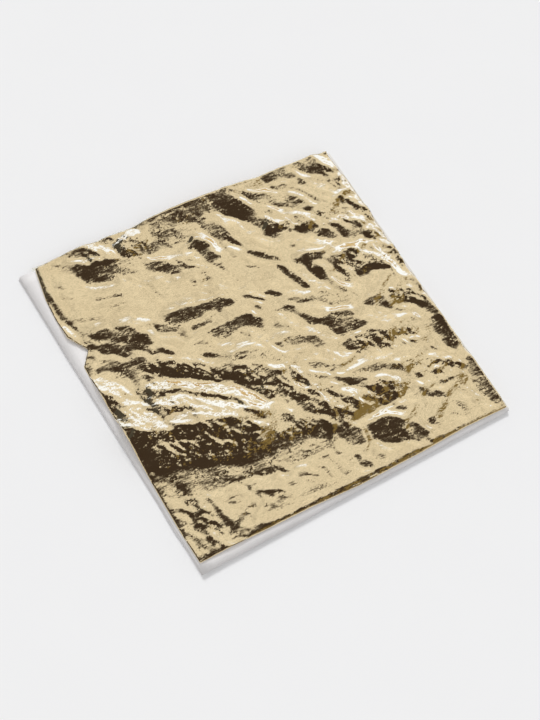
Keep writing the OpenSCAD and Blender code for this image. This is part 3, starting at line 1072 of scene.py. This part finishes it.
class BOOKLET_OT_studio(bpy.types.Operator):
    """Sets up the camera, the pale table and the soft light"""

    bl_idname = "booklet.studio"
    bl_label = "Studio"

    def execute(self, context):
        studio = context.scene.booklet_studio
        self.camera(studio, context.scene)
        self.table(studio)
        self.world(studio, context.scene)
        self.lamp()
        return {"FINISHED"}

    def camera(self, studio, scene):
        """Points a new camera at the booklet."""
        camera = bpy.data.cameras.new("camera")
        camera.sensor_width = 36.0
        camera.lens = studio.lens
        camera.clip_start, camera.clip_end = 0.01, 20.0
        stand = bpy.data.objects.new("camera", camera)
        scene.collection.objects.link(stand)
        ahead = Vector(studio.aim) - Vector(studio.eye)
        level = ahead.to_track_quat("-Z", "Y").to_matrix()
        turned = level @ Matrix.Rotation(studio.roll, 3, "Z")
        stand.matrix_world = Matrix.Translation(studio.eye) @ turned.to_4x4()
        scene.camera = stand

    def table(self, studio):
        """A wide pale floor that keeps the booklet's shadow."""
        bpy.ops.mesh.primitive_plane_add(size=TABLE_SIDE, location=(0, 0, -TABLE_GAP))
        floor = bpy.context.object
        floor.name = "table"
        material = bpy.data.materials.new("table")
        paint = Paint(material)
        grain = paint.noise(paint.place(), 40.0, 3.0)
        shade = [channel * TABLE_SHADE for channel in studio.table]
        colour = paint.blend(grain, (*studio.table, 1.0), (*shade, 1.0))
        paint.surface({"Base Color": colour, "Roughness": 0.9, "Specular IOR Level": 0.0})
        floor.data.materials.append(material)

    def world(self, studio, scene):
        """Even light, for the camera a plain backdrop, and for mirrors a pale softbox
        between a dark ceiling, a bright lamp low on the far side, a dim warm wall on the
        right and a dark one on the left, in a pale room."""
        world = bpy.data.worlds.new("studio")
        scene.world = world
        mirror = Mirror(studio)
        paint = Paint(world)
        ray = paint.field("TexCoord", None, None, "Generated")
        upward = paint.dot(ray, (0, 0, 1))
        ahead, aside = paint.dot(ray, tuple(mirror.far)), paint.dot(ray, tuple(mirror.right))
        degree = 180 / math.pi
        down = ahead.math("ARCTAN2", upward) * degree
        out = aside.math("ARCSINE") * degree
        rise = down.step(*SOFTBOX_RISE) * (1 - SOFTBOX_LEAST)
        rise = rise * (1 - out.math("ABSOLUTE").step(*SIDE_FADE) * SIDE_LOSS)
        sockets = {"Vector": ray, "Scale": CLOTH_SCALE, "Detail": 2.0}
        cloth = paint.field("TexNoise", None, sockets).step(*CLOTH_FADE)
        softbox = (rise + SOFTBOX_LEAST) * (cloth * (1 - CLOTH_LEAST) + CLOTH_LEAST)
        pale = paint.field("CombineColor", None, {0: softbox, 1: softbox, 2: softbox})
        past = down.step(CEILING_END - CEILING_FADE[0], CEILING_END + CEILING_FADE[1])
        seen = paint.blend(past * past, CEILING, pale)
        past = down.step(LAMP_START - LAMP_FADE[0], LAMP_START + LAMP_FADE[1])
        seen = paint.blend(past, seen, LAMP)
        wall = out.step(RIGHT_START - WALL_FADE, RIGHT_START + WALL_FADE)
        wall = wall * (1 - out.step(*RIGHT_END)) * down.step(*RIGHT_TOP)
        seen = paint.blend(wall * (1 - down.step(*RIGHT_FOOT)), seen, RIGHT_WALL)
        wall = (0 - out).step(LEFT_START - WALL_FADE, LEFT_START + WALL_FADE)
        seen = paint.blend(wall * (1 - down.step(*LEFT_FOOT)), seen, LEFT_WALL)
        room = down.step(*ROOM_BEHIND) + out.step(*RIGHT_END) * (1 - down.step(*ROOM_FOOT))
        seen = paint.blend(room.math("MINIMUM", 1.0), seen, ROOM)
        is_mirror = paint.field("LightPath", None, None, "Is Glossy Ray")
        even = (studio.daylight, studio.daylight, studio.daylight, 1.0)
        light = paint.blend(is_mirror, even, seen)
        is_camera = paint.field("LightPath", None, None, "Is Camera Ray")
        light = paint.blend(is_camera, light, BACKDROP)
        sky = paint.field("Background", None, {"Color": light, "Strength": 1.0})
        paint.node("OutputWorld", None, {"Surface": sky})

    def lamp(self):
        """A soft lamp far behind the booklet, which gives it its shadow towards the viewer."""
        lamp = bpy.data.lights.new("soft_lamp", "SUN")
        lamp.angle = math.radians(SUN_DEGREES)
        lamp.energy = SUN_STRENGTH
        stand = bpy.data.objects.new("soft_lamp", lamp)
        bpy.context.scene.collection.objects.link(stand)
        stand.rotation_mode = "QUATERNION"
        stand.rotation_quaternion = (-Vector(SUN_FROM)).to_track_quat("-Z", "Y")
        stand.visible_glossy = False


class BOOKLET_OT_tissue_pages(bpy.types.Operator):
    """Replaces the flat tissue pages and the backing sheet by thin papers that lie loosely"""

    bl_idname = "booklet.tissue_pages"
    bl_label = "Tissue pages"

    def execute(self, context):
        paper = context.scene.booklet_paper
        tissue = tissue_finish("tissue", paper)
        for number, node in enumerate(PAGES, 1):
            sheet = lay_sheet(
                node, f"tissue_page_{number:02d}", node_corners(node), tissue, PAGE_RAGGED,
                number, paper,
            )
        backing = lay_sheet(
            "backing_sheet", "backing_paper", node_corners("backing_sheet"),
            tissue_finish("backing", paper), 0.0, 99, paper,
        )
        return {"FINISHED"}


class BOOKLET_OT_inner_leaves(bpy.types.Operator):
    """Replaces the flat inner leaves by metal leaf that follows its page"""

    bl_idname = "booklet.inner_leaves"
    bl_label = "Inner leaves"

    def execute(self, context):
        paper, leaf = context.scene.booklet_paper, context.scene.booklet_leaf
        gold = gold_finish("inner_gold", leaf, False)
        for number, node in enumerate(INNER, 2):
            corners = node_corners(node)
            page = node_corners(PAGES[number - 1])
            corners[0][0] = max(corners[0][0], page[0][0] + LEAF_MARGIN)
            sheet = lay_sheet(
                node, f"gold_leaf_{number:02d}", corners, gold, LEAF_RAGGED, 200 + number,
                paper,
            )
        return {"FINISHED"}


class BOOKLET_OT_exposed_leaf(bpy.types.Operator):
    """Lays the crumpled leaf on the top page"""

    bl_idname = "booklet.exposed_leaf"
    bl_label = "Exposed leaf"

    def execute(self, context):
        scene = context.scene
        leaf = scene.booklet_leaf
        mirror = Mirror(scene.booklet_studio)
        reach = LEAF_SIDE / MM / 2 + EDGE_SPARE
        line = np.linspace(-reach, reach, leaf.cells + 1)
        grid_x, grid_y = np.meshgrid(line, line)
        base = solid_relief(grid_x, grid_y)
        height, *zones = leaf_relief(grid_x, grid_y, base, mirror)
        x, y = leaf_plan(leaf.cells)
        height = sample(height, line, x, y)
        zones = [sample(zone, line, x, y) for zone in zones]
        for cell, degrees, seed, rise in CRUMPLE:
            turn = math.radians(degrees)
            along = x * math.cos(turn) + y * math.sin(turn)
            across = y * math.cos(turn) - x * math.sin(turn)
            fold = np.abs(value_noise(along, across, cell, seed))
            height = height + by_zone(rise, *zones) * fold
        height = np.maximum(height + min(REST_LIFT, max(0.0, -height.min())), REST_GAP)
        # As high as the page's free edge, so that the leaf slides off over it
        lift = page_lift(PAGE_LOW.x, y * MM + LEAF_MIDDLE.y, scene.booklet_paper)
        z = BLOCK_TOP * (1 + lift) + height * MM
        sheet = closed_sheet(
            "crumpled_leaf", x * MM + LEAF_MIDDLE.x, y * MM + LEAF_MIDDLE.y, z, LEAF_THICK,
            gold_finish("gold", leaf, True),
        )
        strength = sheet.data.attributes.new("grain", "FLOAT", "POINT")
        grain = np.tile(by_zone(GRAIN_SHARE, *zones).ravel(), 2)
        strength.data.foreach_set("value", grain.astype(np.float32))
        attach(sheet, BODY_OF[EXPOSED])
        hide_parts(EXPOSED)
        print("leaf height", round(float(height.max()), 2), "mm")
        return {"FINISHED"}


def solid_relief(x, y):
    """Height over its page, in millimetres, of the construction model's leaf."""
    solid = frame["nodes"][EXPOSED]
    places = np.stack([x, y], -1)[::RELIEF_STEP, ::RELIEF_STEP] * MM
    height = np.zeros(places.shape[:2])
    for row, column in np.ndindex(height.shape):
        above = (*(places[row, column] + LEAF_MIDDLE.xy), 1.0)
        hit, spot, _, _ = solid.ray_cast(above, (0, 0, -1))
        height[row, column] = (spot.z - BLOCK_TOP) / MM if hit else RIM_HEIGHT
    return sample(height, x[0, ::RELIEF_STEP], x, y)


def edge_line(place, points):
    """An edge's offset along it, from a few points, in millimetres."""
    where, offset = zip(*points)
    return np.interp(place, where, offset)


def leaf_plan(cells):
    """Places of the crumpled leaf's grid, between its four drawn-in edges."""
    half = LEAF_SIDE / MM / 2
    line = np.linspace(-half, half, cells + 1)
    x, y = np.meshgrid(line, line)
    left, right = edge_line(y, LEFT_EDGE), np.minimum(edge_line(y, RIGHT_EDGE), SPINE_REACH)
    front, back = edge_line(x, FRONT_EDGE), edge_line(x, BACK_EDGE)
    across, along = (x / half + 1) / 2, (y / half + 1) / 2
    return left + (right - left) * across, front + (back - front) * along


def sample(values, line, x, y):
    """Values of a square grid at other places."""
    cell = line[1] - line[0]
    u = np.clip((x - line[0]) / cell, 0, len(line) - 1.001)
    v = np.clip((y - line[0]) / cell, 0, len(line) - 1.001)
    i, j = u.astype(int), v.astype(int)
    a, b = u - i, v - j
    front = values[j, i] * (1 - a) + values[j, i + 1] * a
    back = values[j + 1, i] * (1 - a) + values[j + 1, i + 1] * a
    return front * (1 - b) + back * b


class BOOKLET_OT_spine_glue(bpy.types.Operator):
    """Gives the glue on the spine its finish"""

    bl_idname = "booklet.spine_glue"
    bl_label = "Spine glue"

    def execute(self, context):
        glue = frame["nodes"]["spine_glue"]
        glue.data.materials.clear()
        glue.data.materials.append(glue_finish("glue"))
        return {"FINISHED"}


class BOOKLET_PT_panel(bpy.types.Panel):
    """Lists the booklet's steps"""

    bl_idname = "BOOKLET_PT_panel"
    bl_label = "Booklet"
    bl_space_type = "VIEW_3D"
    bl_region_type = "UI"
    bl_category = "Booklet"

    def draw(self, context):
        for operator in OPERATORS:
            self.layout.operator(operator.bl_idname)
        for group in ("booklet_studio", "booklet_paper", "booklet_leaf"):
            settings = getattr(context.scene, group)
            for name in settings.bl_rna.properties.keys():
                if name not in ("rna_type", "name"):
                    self.layout.prop(settings, name)


GROUPS = (BookletStudio, BookletPaper, BookletLeaf)
OPERATORS = (
    BOOKLET_OT_studio,
    BOOKLET_OT_tissue_pages,
    BOOKLET_OT_inner_leaves,
    BOOKLET_OT_exposed_leaf,
    BOOKLET_OT_spine_glue,
)


def register():
    """Registers the settings, the operators and the panel."""
    for item in (*GROUPS, *OPERATORS, BOOKLET_PT_panel):
        bpy.utils.register_class(item)
    bpy.types.Scene.booklet_studio = PointerProperty(type=BookletStudio)
    bpy.types.Scene.booklet_paper = PointerProperty(type=BookletPaper)
    bpy.types.Scene.booklet_leaf = PointerProperty(type=BookletLeaf)


def unregister():
    """Takes them out again."""
    del bpy.types.Scene.booklet_leaf
    del bpy.types.Scene.booklet_paper
    del bpy.types.Scene.booklet_studio
    for item in (BOOKLET_PT_panel, *OPERATORS[::-1], *GROUPS[::-1]):
        bpy.utils.unregister_class(item)


def main():
    """Builds the studio and the booklet."""
    register()
    bpy.context.scene.view_settings.view_transform = "Standard"
    bpy.ops.booklet.studio()
    bpy.ops.booklet.tissue_pages()
    bpy.ops.booklet.inner_leaves()
    bpy.ops.booklet.exposed_leaf()
    bpy.ops.booklet.spine_glue()


if __name__ == "__main__":
    main()
